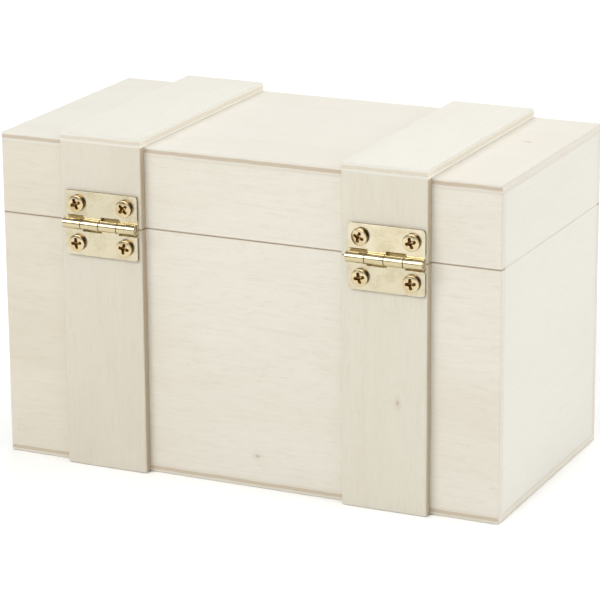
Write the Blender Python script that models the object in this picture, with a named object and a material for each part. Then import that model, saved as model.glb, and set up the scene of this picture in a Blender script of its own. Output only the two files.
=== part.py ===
"""Wooden money box: a small plywood trunk with straps, two brass hinges and a hook latch.

Metres, +Z up.  The origin is in the middle of the underside.  The front, with the coin
slot and the latch, faces -Y, and the hinges are on the +Y side.  Left is -X, right is +X.
"""
from math import asin, cos, pi, radians, sin

import bmesh
import bpy
from mathutils import Matrix, Vector

MM = 0.001

# The carcass: a closed plywood box that is sawn through all round into a base and a lid.
LENGTH = 180.0 * MM
DEPTH = 91.0 * MM
HEIGHT = 112.8 * MM
PLY = 3.0 * MM
SEAM_Z = 85.2 * MM
SEAM_GAP = 0.4 * MM
BASE_TOP = SEAM_Z - SEAM_GAP / 2
LID_FOOT = SEAM_Z + SEAM_GAP / 2
GLUE = 0.1 * MM
EDGE_ROUND = 0.35 * MM
BACK = DEPTH / 2
FRONT = -DEPTH / 2

# The coin slot, through the front wall of the lid.
SLOT_LENGTH = 36.0 * MM
SLOT_HEIGHT = 4.8 * MM
SLOT_Z = 103.6 * MM

# The flat straps, which lie on the carcass and are sawn through with it.
STRAP_WIDTH = 30.0 * MM
STRAP_PLY = 2.9 * MM
STRAP_X = 51.0 * MM
STRAP_OUTER = BACK + GLUE + STRAP_PLY
FRONT_STRAP_TOP = HEIGHT - 1.2 * MM

# The two surface-mounted butt hinges.
HINGE_X = {"left": -52.2 * MM, "right": 50.5 * MM}
HINGE_WIDTH = 26.8 * MM
LEAF_HEIGHT = 11.0 * MM
LEAF_THICKNESS = 0.9 * MM
LEAF_CORNER = 0.9 * MM
KNUCKLE_RADIUS = 1.8 * MM
KNUCKLE_COUNT = 4
KNUCKLE_GAP = 0.26 * MM
CURL_END = radians(-108)
NOTCH = 2.6 * MM
PIN_RADIUS = 0.8 * MM
LEAF_BACK = STRAP_OUTER + GLUE
HINGE_AXIS = Vector((0, LEAF_BACK + KNUCKLE_RADIUS, 85.5 * MM))

# The cross-head wood screws of the hinges.
SCREW_X = 8.9 * MM
SCREW_Z = 6.75 * MM
SCREW_HEAD_RADIUS = 2.85 * MM
SCREW_HEAD_HEIGHT = 1.3 * MM
SCREW_SHANK_RADIUS = 1.2 * MM
SCREW_LENGTH = 5.9 * MM
SCREW_TURNS = (25, 62, 8, 48, 71, 15, 38, 84)
SCREW_SEAT = LEAF_BACK + LEAF_THICKNESS + 0.05 * MM
BORE_RADIUS = 1.35 * MM
BORE_DEPTH = 2.5 * MM
CROSS_SPAN = 3.8 * MM
CROSS_ARM = 1.0 * MM
CROSS_DEPTH = 0.9 * MM

# The hook latch on the front: a turning hook on the base and a stud on the lid.
PLATE_THICKNESS = 0.8 * MM
PLATE_LENGTH = 20.0 * MM
PLATE_CORNER = 1.5 * MM
HOOK_PLATE_HEIGHT = 9.0 * MM
CATCH_PLATE_HEIGHT = 8.0 * MM
HOOK_PIVOT_Z = 76.5 * MM
STUD_Z = 94.2 * MM
HOOK_REACH = STUD_Z - HOOK_PIVOT_Z
PLATE_FACE = FRONT - GLUE - PLATE_THICKNESS
HOOK_STANDOFF = 0.8 * MM
HOOK_THICKNESS = 1.2 * MM
HOOK_EYE_RADIUS = 3.0 * MM
HOOK_HEAD_RADIUS = 3.9 * MM
HOOK_ARM_WIDTH = 3.4 * MM
HOOK_MOUTH = 1.5 * MM
HOOK_MOUTH_SWEEP = radians(28)
TACK_X = 7.2 * MM
TACK_RADIUS = 0.6 * MM
TACK_HEAD_RADIUS = 1.3 * MM
TACK_HEAD_HEIGHT = 0.4 * MM
TACK_LENGTH = 3.0 * MM
TACK_BORE = 0.75 * MM
RIVET_RADIUS = 1.2 * MM
RIVET_BORE = 1.35 * MM
HOOK_PIVOT = Vector((0, PLATE_FACE, HOOK_PIVOT_Z))

SIDES = {"left": -1, "right": 1}
ROUND_SEGMENTS = 32
SMALL_SEGMENTS = 20


def clear_scene():
    for thing in list(bpy.data.objects):
        bpy.data.objects.remove(thing, do_unlink=True)


def material(name, colour, roughness, metallic):
    made = bpy.data.materials.new(name)
    made.use_nodes = True
    made.diffuse_color = (*colour, 1)
    shader = made.node_tree.nodes["Principled BSDF"]
    shader.inputs["Base Color"].default_value = (*colour, 1)
    shader.inputs["Roughness"].default_value = roughness
    shader.inputs["Metallic"].default_value = metallic
    return made


def empty(name, place):
    made = bpy.data.objects.new(name, None)
    made.location = place
    bpy.context.collection.objects.link(made)
    return made


def add_part(name, shape, place, look, parent, turn=0.0):
    """Make an object from a bmesh, at a world place, turned about Y, under a parent empty."""
    mesh = bpy.data.meshes.new(name)
    bmesh.ops.recalc_face_normals(shape, faces=shape.faces)
    shape.to_mesh(mesh)
    shape.free()
    mesh.materials.append(look)
    mesh.shade_smooth()
    mesh.set_sharp_from_angle(angle=radians(35))
    made = bpy.data.objects.new(name, mesh)
    made.parent = parent
    made.location = Vector(place) - parent.location
    made.rotation_euler = (0, turn, 0)
    bpy.context.collection.objects.link(made)
    return made


def make_cutter(name, shape):
    """A hidden object, in world coordinates, for the Boolean modifiers."""
    mesh = bpy.data.meshes.new(name)
    bmesh.ops.recalc_face_normals(shape, faces=shape.faces)
    shape.to_mesh(mesh)
    shape.free()
    cutter = bpy.data.objects.new(name, mesh)
    cutter.display_type = "WIRE"
    cutter.hide_render = True
    bpy.context.collection.objects.link(cutter)
    return cutter


def cut(target, cutter):
    modifier = target.modifiers.new(cutter.name, "BOOLEAN")
    modifier.operation = "DIFFERENCE"
    modifier.solver = "EXACT"
    modifier.object = cutter


def block(low, high, rounding):
    """A box between two corners about its own middle, with its edges eased."""
    size = Vector(high) - Vector(low)
    shape = bmesh.new()
    bmesh.ops.create_cube(shape, size=1.0, matrix=Matrix.Diagonal((*size, 1)))
    bmesh.ops.bevel(shape, geom=list(shape.edges), offset=rounding, segments=2, profile=0.5, affect="EDGES")
    return shape


def prism(shape, outline, y_from, y_to):
    """Add to a bmesh an outline in X and Z that is drawn out along Y."""
    near = [shape.verts.new((x, y_from, z)) for x, z in outline]
    far = [shape.verts.new((x, y_to, z)) for x, z in outline]
    shape.faces.new(near)
    shape.faces.new(far)
    for index in range(len(outline)):
        after = (index + 1) % len(outline)
        shape.faces.new((near[index], near[after], far[after], far[index]))


def arc(centre, radius, start, end, segments):
    step = (end - start) / segments
    angles = [start + step * index for index in range(segments + 1)]
    return [(centre[0] + radius * cos(angle), centre[1] + radius * sin(angle)) for angle in angles]


def circle(centre, radius, segments):
    return arc(centre, radius, 0, 2 * pi, segments)[:-1]


def turned(profile, segments):
    """A round piece about the Y axis from (radius, y) points that start and end on the axis."""
    shape = bmesh.new()
    points = [shape.verts.new((radius, y, 0)) for radius, y in profile]
    edges = [shape.edges.new(pair) for pair in zip(points, points[1:])]
    bmesh.ops.spin(shape, geom=points + edges, cent=(0, 0, 0), axis=(0, 1, 0), angle=2 * pi,
                   steps=segments, use_merge=True)
    bmesh.ops.remove_doubles(shape, verts=shape.verts, dist=1e-7)
    return shape


def panel(name, low, high, look, parent):
    middle = (Vector(low) + Vector(high)) / 2
    return add_part(name, block(low, high, EDGE_ROUND), middle, look, parent)


def make_walls(prefix, z_low, z_high, look, parent):
    """Front and back walls run the full length, and the end walls fit between them."""
    end_y = BACK - PLY - GLUE
    inner_x = LENGTH / 2 - PLY
    walls = {}
    walls["front"] = panel(f"{prefix}_front_panel", (-LENGTH / 2, FRONT, z_low),
                           (LENGTH / 2, FRONT + PLY, z_high), look, parent)
    walls["back"] = panel(f"{prefix}_back_panel", (-LENGTH / 2, BACK - PLY, z_low),
                          (LENGTH / 2, BACK, z_high), look, parent)
    walls["left"] = panel(f"{prefix}_left_panel", (-LENGTH / 2, -end_y, z_low),
                          (-inner_x, end_y, z_high), look, parent)
    walls["right"] = panel(f"{prefix}_right_panel", (inner_x, -end_y, z_low),
                           (LENGTH / 2, end_y, z_high), look, parent)
    return walls


def make_carcass(look, base, lid):
    panel("base_bottom_panel", (-LENGTH / 2, FRONT, 0), (LENGTH / 2, BACK, PLY), look, base)
    panel("lid_top_panel", (-LENGTH / 2, FRONT, HEIGHT - PLY), (LENGTH / 2, BACK, HEIGHT), look, lid)
    base_walls = make_walls("base", PLY + GLUE, BASE_TOP, look, base)
    lid_walls = make_walls("lid", LID_FOOT, HEIGHT - PLY - GLUE, look, lid)
    return base_walls, lid_walls


def make_straps(look, base, lid):
    """Each strap goes up the back, over the top and down the front; back pieces are returned."""
    back_pieces = {}
    for side, sign in SIDES.items():
        x_low = sign * STRAP_X - STRAP_WIDTH / 2
        x_high = sign * STRAP_X + STRAP_WIDTH / 2
        base_back = panel(f"base_back_strap_{side}", (x_low, BACK + GLUE, 0),
                          (x_high, STRAP_OUTER, BASE_TOP), look, base)
        lid_back = panel(f"lid_back_strap_{side}", (x_low, BACK + GLUE, LID_FOOT),
                         (x_high, STRAP_OUTER, HEIGHT), look, lid)
        panel(f"lid_top_strap_{side}", (x_low, FRONT, HEIGHT + GLUE),
              (x_high, STRAP_OUTER, HEIGHT + GLUE + STRAP_PLY), look, lid)
        panel(f"base_front_strap_{side}", (x_low, -STRAP_OUTER, 0),
              (x_high, FRONT - GLUE, BASE_TOP), look, base)
        panel(f"lid_front_strap_{side}", (x_low, -STRAP_OUTER, LID_FOOT),
              (x_high, FRONT - GLUE, FRONT_STRAP_TOP), look, lid)
        back_pieces[side] = (base_back, lid_back)
    return back_pieces


def curl_outline(up):
    """The rolled end of a leaf in Y and Z about the pin, from the leaf's back to its front face.

    A lower leaf (up = -1) comes from below, goes over the pin and ends short of its own face.
    """
    outer = arc((0, 0), KNUCKLE_RADIUS, pi, CURL_END, SMALL_SEGMENTS)
    inner = arc((0, 0), KNUCKLE_RADIUS - LEAF_THICKNESS, CURL_END, pi, SMALL_SEGMENTS)
    return [(y, -up * z) for y, z in outer + inner]


def leaf_shape(up, own_knuckles):
    """One leaf about the pin's middle: a flat plate with notches and its own rolled knuckles."""
    pitch = HINGE_WIDTH / KNUCKLE_COUNT
    spans = []
    for index in own_knuckles:
        start = HINGE_WIDTH / 2 - index * pitch
        spans.append((start - KNUCKLE_GAP / 2 if index else start, start - pitch + KNUCKLE_GAP / 2))
    if KNUCKLE_COUNT - 1 in own_knuckles:
        spans[-1] = (spans[-1][0], -HINGE_WIDTH / 2)
    stations = sorted({HINGE_WIDTH / 2, -HINGE_WIDTH / 2, *[x for span in spans for x in span]}, reverse=True)
    back_y = -KNUCKLE_RADIUS
    face_y = LEAF_THICKNESS - KNUCKLE_RADIUS
    shape = bmesh.new()
    rows = []
    for x in stations:
        corners = ((back_y, up * LEAF_HEIGHT), (face_y, up * LEAF_HEIGHT), (face_y, up * NOTCH), (back_y, up * NOTCH))
        rows.append([shape.verts.new((x, y, z)) for y, z in corners])
    shape.faces.new(rows[0])
    shape.faces.new(rows[-1])
    outline = curl_outline(up)
    for x_from, x_to, near, far in zip(stations, stations[1:], rows, rows[1:]):
        for side in range(3):
            if side != 2 or (x_from, x_to) not in spans:
                shape.faces.new((near[side], near[side + 1], far[side + 1], far[side]))
        shape.faces.new((near[3], near[0], far[0], far[3]))
        if (x_from, x_to) in spans:
            ring_from = [near[3], *[shape.verts.new((x_from, y, z)) for y, z in outline], near[2]]
            ring_to = [far[3], *[shape.verts.new((x_to, y, z)) for y, z in outline], far[2]]
            for index in range(len(ring_from) - 1):
                shape.faces.new((ring_from[index], ring_from[index + 1], ring_to[index + 1], ring_to[index]))
            shape.faces.new(ring_from)
            shape.faces.new(ring_to)
    corners = [edge for edge in shape.edges
               if all(abs(abs(v.co.x) - HINGE_WIDTH / 2) < 1e-6 for v in edge.verts)
               and all(abs(v.co.z - up * LEAF_HEIGHT) < 1e-6 for v in edge.verts)]
    bmesh.ops.bevel(shape, geom=corners, offset=LEAF_CORNER, segments=4, profile=0.5, affect="EDGES")
    return shape


def screw_shape():
    """A pan head on its seat at y = 0, with the shank along -Y and its point last."""
    crown = SCREW_HEAD_HEIGHT
    edge = 0.45 * MM
    rounded = [(SCREW_HEAD_RADIUS - edge + edge * sin(angle), crown - edge + edge * cos(angle))
               for angle in (0.1 * pi, 0.2 * pi, 0.3 * pi, 0.4 * pi, 0.5 * pi)]
    profile = [(0, crown + 0.15 * MM), (1.4 * MM, crown + 0.08 * MM), *rounded,
               (SCREW_HEAD_RADIUS, 0), (SCREW_SHANK_RADIUS, 0),
               (SCREW_SHANK_RADIUS, 1.3 * MM - SCREW_LENGTH), (0, -SCREW_LENGTH)]
    return turned(profile, ROUND_SEGMENTS)


def cross_outline():
    """A plus sign for the screw's cross recess."""
    far = CROSS_SPAN / 2
    near = CROSS_ARM / 2
    quarter = [(far, -near), (far, near), (near, near)]
    points = []
    for turn in range(4):
        angle = turn * pi / 2
        points += [(x * cos(angle) - z * sin(angle), x * sin(angle) + z * cos(angle)) for x, z in quarter]
    return points


def add_screw(name, place, look, parent, turn):
    screw = add_part(name, screw_shape(), place, look, parent, turn)
    recess = bmesh.new()
    prism(recess, cross_outline(), SCREW_HEAD_HEIGHT - CROSS_DEPTH, SCREW_HEAD_HEIGHT + 1 * MM)
    cutter = make_cutter(f"{name}_recess_cutter", recess)
    cutter.location = place
    cutter.rotation_euler = (0, turn, 0)
    cut(screw, cutter)


def make_screw_bores():
    """All eight bores as one cutter, through leaf and strap and partly into the wall."""
    bores = bmesh.new()
    for hinge_x in HINGE_X.values():
        for x_sign in (1, -1):
            for z_sign in (1, -1):
                centre = (hinge_x + x_sign * SCREW_X, HINGE_AXIS.z + z_sign * SCREW_Z)
                prism(bores, circle(centre, BORE_RADIUS, SMALL_SEGMENTS), BACK - BORE_DEPTH, BACK + 10 * MM)
    return make_cutter("screw_bore_cutter", bores)


def make_hinges(leaf_look, screw_look, base, lid):
    """Leaves, pins and screws; the bore cutter is returned for the wood behind them."""
    bores = make_screw_bores()
    turns = iter(SCREW_TURNS)
    for side, hinge_x in HINGE_X.items():
        centre = HINGE_AXIS + Vector((hinge_x, 0, 0))
        lower = add_part(f"hinge_lower_leaf_{side}", leaf_shape(-1, (0, 2)), centre, leaf_look, base)
        upper = add_part(f"hinge_upper_leaf_{side}", leaf_shape(1, (1, 3)), centre, leaf_look, lid)
        cut(lower, bores)
        cut(upper, bores)
        pin = bmesh.new()
        bmesh.ops.create_cone(pin, cap_ends=True, segments=SMALL_SEGMENTS, radius1=PIN_RADIUS,
                              radius2=PIN_RADIUS, depth=HINGE_WIDTH, matrix=Matrix.Rotation(pi / 2, 4, "Y"))
        add_part(f"hinge_pin_{side}", pin, centre, leaf_look, base)
        for z_sign, row, parent in ((-1, "lower", base), (1, "upper", lid)):
            for number, x_sign in enumerate((-1, 1), start=1):
                seat = (hinge_x + x_sign * SCREW_X, SCREW_SEAT, HINGE_AXIS.z + z_sign * SCREW_Z)
                add_screw(f"hinge_{row}_screw_{side}_{number}", seat, screw_look, parent, radians(next(turns)))
    return bores


def plate_outline(length, height, corner):
    points = []
    for x_sign, z_sign, start in ((1, 1, 0), (-1, 1, 90), (-1, -1, 180), (1, -1, 270)):
        centre = (x_sign * (length / 2 - corner), z_sign * (height / 2 - corner))
        points += arc(centre, corner, radians(start), radians(start + 90), 5)
    return points


def add_latch_plate(name, height, z, look, parent):
    shape = bmesh.new()
    prism(shape, plate_outline(PLATE_LENGTH, height, PLATE_CORNER), 0, PLATE_THICKNESS)
    plate = add_part(name, shape, (0, PLATE_FACE, z), look, parent)
    hole = bmesh.new()
    prism(hole, circle((0, z), RIVET_BORE, SMALL_SEGMENTS), PLATE_FACE - 1 * MM, FRONT - GLUE / 2)
    cut(plate, make_cutter(f"{name}_rivet_cutter", hole))
    return plate


def add_tack(name, x, z, look, parent):
    """A small round-headed brass pin that holds a latch plate."""
    seat = 0.05 * MM
    profile = [(0, -seat - TACK_HEAD_HEIGHT), (0.8 * MM, -seat - 0.8 * TACK_HEAD_HEIGHT),
               (TACK_HEAD_RADIUS, -seat - 0.3 * TACK_HEAD_HEIGHT), (TACK_HEAD_RADIUS, -seat),
               (TACK_RADIUS, -seat), (TACK_RADIUS, TACK_LENGTH - 0.5 * MM), (0, TACK_LENGTH)]
    add_part(name, turned(profile, SMALL_SEGMENTS), (x, PLATE_FACE, z), look, parent)


def hook_shape():
    """The hook about its pivot, hanging down, with the mouth of its curved slot towards +X."""
    head = (0, -HOOK_REACH)
    half_arm = HOOK_ARM_WIDTH / 2
    eye_angle = asin(half_arm / HOOK_EYE_RADIUS)
    head_angle = asin(half_arm / HOOK_HEAD_RADIUS)
    eye = arc((0, 0), HOOK_EYE_RADIUS, -pi / 2 + eye_angle, 1.5 * pi - eye_angle, 24)
    end = arc(head, HOOK_HEAD_RADIUS, pi / 2 + head_angle, 2.5 * pi - head_angle, 28)
    shape = bmesh.new()
    y_near = -HOOK_STANDOFF - HOOK_THICKNESS
    prism(shape, eye + end, y_near, -HOOK_STANDOFF)
    return shape


def mouth_outline():
    """The slot that takes the stud: an arc about the hook's pivot, closed round the stud."""
    far = arc((0, 0), HOOK_REACH + HOOK_MOUTH, -pi / 2 + HOOK_MOUTH_SWEEP, -pi / 2, 8)
    closed = arc((0, -HOOK_REACH), HOOK_MOUTH, 1.5 * pi, 0.5 * pi, 12)
    near = arc((0, 0), HOOK_REACH - HOOK_MOUTH, -pi / 2, -pi / 2 + HOOK_MOUTH_SWEEP, 8)
    return far + closed[1:-1] + near


def make_hook(look, hook_axis):
    hook = add_part("latch_hook", hook_shape(), HOOK_PIVOT, look, hook_axis)
    y_near = PLATE_FACE - HOOK_STANDOFF - HOOK_THICKNESS - 1 * MM
    y_far = PLATE_FACE - HOOK_STANDOFF + 0.5 * MM
    openings = bmesh.new()
    shifted = [(x, z + HOOK_PIVOT_Z) for x, z in mouth_outline()]
    prism(openings, shifted, y_near, y_far)
    prism(openings, circle((0, HOOK_PIVOT_Z), RIVET_BORE, SMALL_SEGMENTS), y_near, y_far)
    cut(hook, make_cutter("hook_openings_cutter", openings))


def headed_pin(shoulder_radius, shoulder_height, neck_height, head_radius, head_height):
    """Profile of a stud or rivet: tail in the plate, shoulder, neck and domed head, along -Y."""
    seat = 0.05 * MM
    top = neck_height + head_height
    return [(0, PLATE_THICKNESS), (RIVET_RADIUS, PLATE_THICKNESS), (RIVET_RADIUS, -seat),
            (shoulder_radius, -seat), (shoulder_radius, -shoulder_height), (RIVET_RADIUS, -shoulder_height),
            (RIVET_RADIUS, -neck_height), (head_radius, -neck_height),
            (head_radius, -neck_height - 0.4 * head_height), (0.75 * head_radius, -neck_height - 0.8 * head_height),
            (0.35 * head_radius, -neck_height - 0.97 * head_height), (0, -top)]


def make_latch(plate_look, hook_look, base, lid, hook_axis):
    """Both plates with their tacks, the pivot rivet, the stud and the hook; bores are returned."""
    hook_plate = add_latch_plate("latch_hook_plate", HOOK_PLATE_HEIGHT, HOOK_PIVOT_Z, plate_look, base)
    catch_plate = add_latch_plate("latch_catch_plate", CATCH_PLATE_HEIGHT, STUD_Z, plate_look, lid)
    bores = bmesh.new()
    for x in (-TACK_X, TACK_X):
        for z in (HOOK_PIVOT_Z, STUD_Z):
            prism(bores, circle((x, z), TACK_BORE, SMALL_SEGMENTS), FRONT - 2 * MM, FRONT + BORE_DEPTH)
    tack_bores = make_cutter("tack_bore_cutter", bores)
    cut(hook_plate, tack_bores)
    cut(catch_plate, tack_bores)
    for number, x in enumerate((-TACK_X, TACK_X), start=1):
        add_tack(f"latch_hook_plate_tack_{number}", x, HOOK_PIVOT_Z, plate_look, base)
        add_tack(f"latch_catch_plate_tack_{number}", x, STUD_Z, plate_look, lid)
    rivet = headed_pin(2.1 * MM, 0.65 * MM, 2.15 * MM, 2.4 * MM, 0.8 * MM)
    add_part("latch_pivot_rivet", turned(rivet, ROUND_SEGMENTS), HOOK_PIVOT, hook_look, base)
    stud = headed_pin(1.9 * MM, 0.5 * MM, 2.4 * MM, 2.5 * MM, 1.1 * MM)
    add_part("latch_catch_stud", turned(stud, ROUND_SEGMENTS), (0, PLATE_FACE, STUD_Z), hook_look, lid)
    make_hook(hook_look, hook_axis)
    return tack_bores


def make_coin_slot():
    """A slot with round ends, as a router leaves it."""
    reach = SLOT_LENGTH / 2 - SLOT_HEIGHT / 2
    right = arc((reach, SLOT_Z), SLOT_HEIGHT / 2, -pi / 2, pi / 2, 10)
    left = arc((-reach, SLOT_Z), SLOT_HEIGHT / 2, pi / 2, 1.5 * pi, 10)
    slot = bmesh.new()
    prism(slot, right + left, FRONT - 2 * MM, FRONT + PLY + 2 * MM)
    return make_cutter("coin_slot_cutter", slot)


def main():
    clear_scene()
    panel_look = material("poplar_panel", (0.82, 0.78, 0.68), 0.62, 0.0)
    strap_look = material("poplar_strap", (0.77, 0.72, 0.62), 0.66, 0.0)
    hinge_look = material("hinge_brass", (0.83, 0.71, 0.42), 0.22, 1.0)
    screw_look = material("screw_brass", (0.74, 0.58, 0.30), 0.30, 1.0)
    latch_look = material("latch_brass", (0.80, 0.67, 0.38), 0.25, 1.0)

    base = empty("base", (0, 0, 0))
    lid = empty("lid_axis", HINGE_AXIS)
    hook_axis = empty("hook_axis", HOOK_PIVOT)

    base_walls, lid_walls = make_carcass(panel_look, base, lid)
    back_pieces = make_straps(strap_look, base, lid)
    screw_bores = make_hinges(hinge_look, screw_look, base, lid)
    tack_bores = make_latch(latch_look, latch_look, base, lid, hook_axis)

    for wood in (base_walls["back"], lid_walls["back"], *back_pieces["left"], *back_pieces["right"]):
        cut(wood, screw_bores)
    for wood in (base_walls["front"], lid_walls["front"]):
        cut(wood, tack_bores)
    cut(lid_walls["front"], make_coin_slot())


main()
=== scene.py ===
"""The looks of the wooden money box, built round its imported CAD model.

Metres, +Z up, in the CAD frame: the front faces -Y, the hinges are on the +Y side.
"""

from dataclasses import dataclass
from math import asin, atan2, cos, pi, radians, sin

import bmesh
import bpy
from mathutils import Matrix, Quaternion, Vector, noise


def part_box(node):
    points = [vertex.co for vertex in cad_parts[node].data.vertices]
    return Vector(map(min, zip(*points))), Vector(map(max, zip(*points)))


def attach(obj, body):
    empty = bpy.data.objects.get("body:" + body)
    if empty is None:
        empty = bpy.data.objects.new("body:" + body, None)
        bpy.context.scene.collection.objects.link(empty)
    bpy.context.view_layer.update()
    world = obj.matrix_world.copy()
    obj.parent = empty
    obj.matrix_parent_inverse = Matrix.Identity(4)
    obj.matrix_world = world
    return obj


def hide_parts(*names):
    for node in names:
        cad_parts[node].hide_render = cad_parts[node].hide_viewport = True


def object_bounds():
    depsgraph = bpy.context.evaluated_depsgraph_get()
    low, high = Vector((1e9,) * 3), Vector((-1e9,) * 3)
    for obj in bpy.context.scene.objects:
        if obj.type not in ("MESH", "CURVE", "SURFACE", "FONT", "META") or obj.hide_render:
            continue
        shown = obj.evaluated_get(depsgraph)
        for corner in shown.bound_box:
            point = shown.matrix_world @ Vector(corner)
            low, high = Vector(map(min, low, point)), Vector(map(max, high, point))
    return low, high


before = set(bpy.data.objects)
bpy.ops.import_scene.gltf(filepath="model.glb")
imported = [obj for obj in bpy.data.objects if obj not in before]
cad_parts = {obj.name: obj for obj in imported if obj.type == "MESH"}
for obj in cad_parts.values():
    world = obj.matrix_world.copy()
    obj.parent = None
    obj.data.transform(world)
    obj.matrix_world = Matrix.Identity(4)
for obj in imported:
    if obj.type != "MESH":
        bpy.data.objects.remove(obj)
cad_low, cad_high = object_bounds()

MM = 0.001
X, Y, Z = 0, 1, 2

# How the wood is finished.
EASE = 0.55 * MM           # rounding of edges that were sanded by hand
EASE_REACH = EASE * 1.01   # points this near to both faces are on the rounding
SAWN_EASE = 0.14 * MM      # rounding of the edges along the saw cut
JOINT_EASE = 0.04 * MM     # rounding of edges inside a glued joint
GLUE_GROW = 0.08 * MM      # how far a board grows to close the CAD's glue gap
WEAR = 0.10 * MM           # how unevenly the sanded edges are rounded
WEAR_SCALE = 70            # worn places per metre
WEAR_BIAS = 0.25           # above 0, more than half of an edge is worn
STATION = 9.0 * MM         # distance between the cross cuts of a board's mesh
SEAM_GROW = 0.14 * MM      # the lid sits closer than the saw cut is wide
END_SEAM_GROW = 0.18 * MM  # and closer still on the end walls

# How the brass is finished.
SHEET_EASE = 0.13 * MM     # rounding of the leaves' edges
CURL_SEGMENTS = 44         # round a rolled knuckle
ROUND_SEGMENTS = 56        # round a turned piece

CUT_THROUGH = 1.0 * MM     # how far a cutter runs past both faces of a piece
WELD = 1e-7                # points closer than this are one point

# The camera of the product view.
CAMERA_TARGET = Vector((7.1, -12.6, 48.0)) * MM
CAMERA_AZIMUTH = radians(205.05)
CAMERA_ELEVATION = radians(16.68)
CAMERA_ROLL = radians(-0.38)
CAMERA_DISTANCE = 1063 * MM
CAMERA_LENS = 184.2
SENSOR_WIDTH = 36.0


# ---------------------------------------------------------------- shader helpers

def put(tree, kind, settings=None, inputs=None):
    """Add a node, set its properties, and set or link its inputs."""
    made = tree.nodes.new(kind)
    for key, value in (settings or {}).items():
        setattr(made, key, value)
    for key, value in (inputs or {}).items():
        if isinstance(value, bpy.types.NodeSocket):
            tree.links.new(value, made.inputs[key])
        else:
            made.inputs[key].default_value = value
    return made


def calc(tree, operation, first, second=0.0):
    return put(tree, "ShaderNodeMath", {"operation": operation}, {0: first, 1: second}).outputs[0]


def vector_calc(tree, operation, first, second=(0, 0, 0)):
    inputs = {0: first, 1: second}
    return put(tree, "ShaderNodeVectorMath", {"operation": operation}, inputs)


def remap(tree, value, low, high, to_low=0.0, to_high=1.0, smooth=True):
    settings = {"interpolation_type": "SMOOTHSTEP" if smooth else "LINEAR"}
    inputs = {"Value": value, "From Min": low, "From Max": high, "To Min": to_low, "To Max": to_high}
    return put(tree, "ShaderNodeMapRange", settings, inputs).outputs[0]


def blend(tree, factor, first, second, mode="MIX"):
    made = put(tree, "ShaderNodeMix", {"data_type": "RGBA", "blend_type": mode})
    for index, value in ((0, factor), (6, first), (7, second)):
        if isinstance(value, bpy.types.NodeSocket):
            tree.links.new(value, made.inputs[index])
        elif index:
            made.inputs[index].default_value = (*value, 1)
        else:
            made.inputs[index].default_value = value
    return made.outputs[2]


def stretched_noise(tree, coords, scales, seed, detail=2.0, roughness=0.5, distortion=0.0):
    """Noise whose cells are 1 / scale long along each axis."""
    scaled = vector_calc(tree, "MULTIPLY", coords, scales)
    moved = vector_calc(tree, "ADD", scaled.outputs[0], (seed, seed * 1.7, 0.3 * seed))
    inputs = {"Vector": moved.outputs[0], "Scale": 1.0, "Detail": detail, "Roughness": roughness,
              "Distortion": distortion}
    return put(tree, "ShaderNodeTexNoise", {"noise_dimensions": "3D"}, inputs).outputs[0]


def new_material(name, specular, metallic):
    made = bpy.data.materials.new(name)
    made.use_nodes = True
    shader = made.node_tree.nodes["Principled BSDF"]
    shader.inputs["Specular IOR Level"].default_value = specular
    shader.inputs["Metallic"].default_value = metallic
    return made, made.node_tree, shader


# ---------------------------------------------------------------- wood

PALE = (0.621, 0.591, 0.519)
WARM = (0.587, 0.546, 0.460)
STREAK = (0.477, 0.420, 0.329)
PORE = (0.400, 0.325, 0.230)
GLUE_LINE = (0.400, 0.320, 0.230)
SAW_MARK = (0.330, 0.240, 0.150)
KNOT = (0.200, 0.120, 0.070)
KNOT_HALO = (0.480, 0.380, 0.270)

# Tints that make some boards, or the +X end of one, a little darker, paler, warmer or cooler.
PLAIN_TINT = (1.0, 1.0, 1.0)
COOL_TINT = (0.985, 1.000, 1.020)
# A little darker on the lid's top panel.
TOP_PANEL_TINT = (0.975, 0.975, 0.98)
END_TINT = (1.03, 1.05, 1.085)
# Darker and warmer towards the +X end of the back panels.
FAR_END_TINT = (0.95, 0.935, 0.90)
STRAP_TINTS = {"left": (0.93, 0.922, 0.889), "right": (0.90, 0.88, 0.845)}

# The height of the saw cut's middle, and how far from it the browned rim fades in and is full.
CUT_Z = (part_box("base_back_panel")[1][Z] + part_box("lid_back_panel")[0][Z]) / 2
BROWNED = (0.45 * MM, 0.22 * MM)

# Pin knots, as places and radii.  A place's value across the sheet isn't used.
TOP_KNOT = ((-76.8 * MM, -11.1 * MM, 0), 0.65 * MM)
BACK_KNOT = ((-4.1 * MM, 0, 11.2 * MM), 0.7 * MM)
STRAP_KNOT = ((-55.8 * MM, 0, 37.7 * MM), 0.65 * MM)


@dataclass
class Core:
    """The sheet's edges: the core's span of the thickness, its two colours, and the veneers'."""
    low: float
    high: float
    long_edge: tuple
    end_edge: tuple
    veneer: tuple


TAN_CORE = Core(0.38, 0.74, (0.470, 0.400, 0.305), (0.660, 0.625, 0.550), (0.580, 0.540, 0.460))
PALE_CORE = Core(0.20, 0.68, (0.540, 0.475, 0.375), (0.640, 0.600, 0.530), (0.590, 0.550, 0.470))
# The top straps' edges: a cream core whose colours, and the veneers', are raised as painted light to make
# up for shade on those edges.
CREAM_CORE_PAINTED_LIGHT = Core(0.28, 0.64, (0.760, 0.690, 0.580), (0.570, 0.510, 0.410), (0.840, 0.800, 0.700))
# The other straps' edges: the core spans nearly all the thickness, so they are brown, partly the core's own
# colour and partly painted shade.
BROWN_CORE_AND_PAINTED_SHADE = Core(-0.20, 0.84, (0.530, 0.445, 0.325), (0.560, 0.490, 0.385), (0.560, 0.510, 0.420))


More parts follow.
